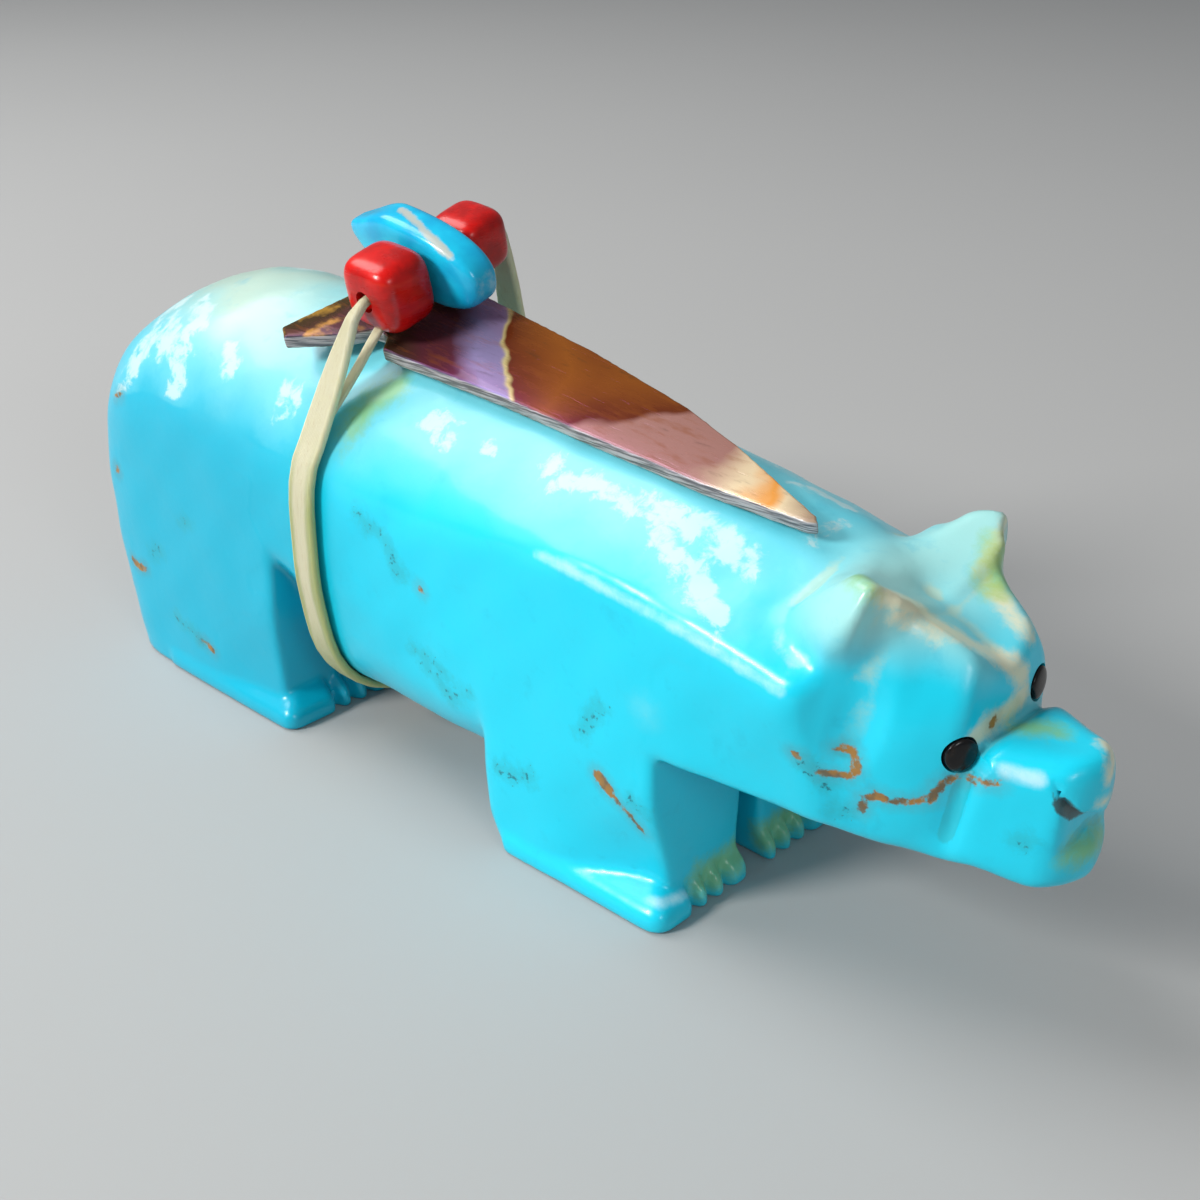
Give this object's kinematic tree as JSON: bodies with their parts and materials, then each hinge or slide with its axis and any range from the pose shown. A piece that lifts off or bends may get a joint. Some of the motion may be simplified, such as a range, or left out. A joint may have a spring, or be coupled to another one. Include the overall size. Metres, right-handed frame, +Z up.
{
  "type": "zuni fetish",
  "caption": "Carved turquoise bear standing on its own feet, with jet eyes and a shell arrowhead and beads tied on its back.",
  "frame": {"origin": "on the ground, under the middle of the whole piece's box", "axes": "+X along the bear towards its nose, +Z up, -Y to the bear's right side"},
  "size_m": [0.0613, 0.0162, 0.0281],
  "materials": {
    "turquoise": "polished, with white clouds and brown veins",
    "jet": "polished black",
    "shell": "polished, brown with a pearly sheen",
    "sinew": "waxy, slightly translucent",
    "coral": "polished",
    "bead_turquoise": "polished, with a grey streak"
  },
  "bodies": {
    "root": {"bear": "turquoise", "right_eye": "jet", "left_eye": "jet", "arrowhead": "shell", "sinew_tie": "sinew", "right_coral_bead": "coral", "turquoise_bead": "bead_turquoise", "left_coral_bead": "coral"}
  },
  "joints": []
}
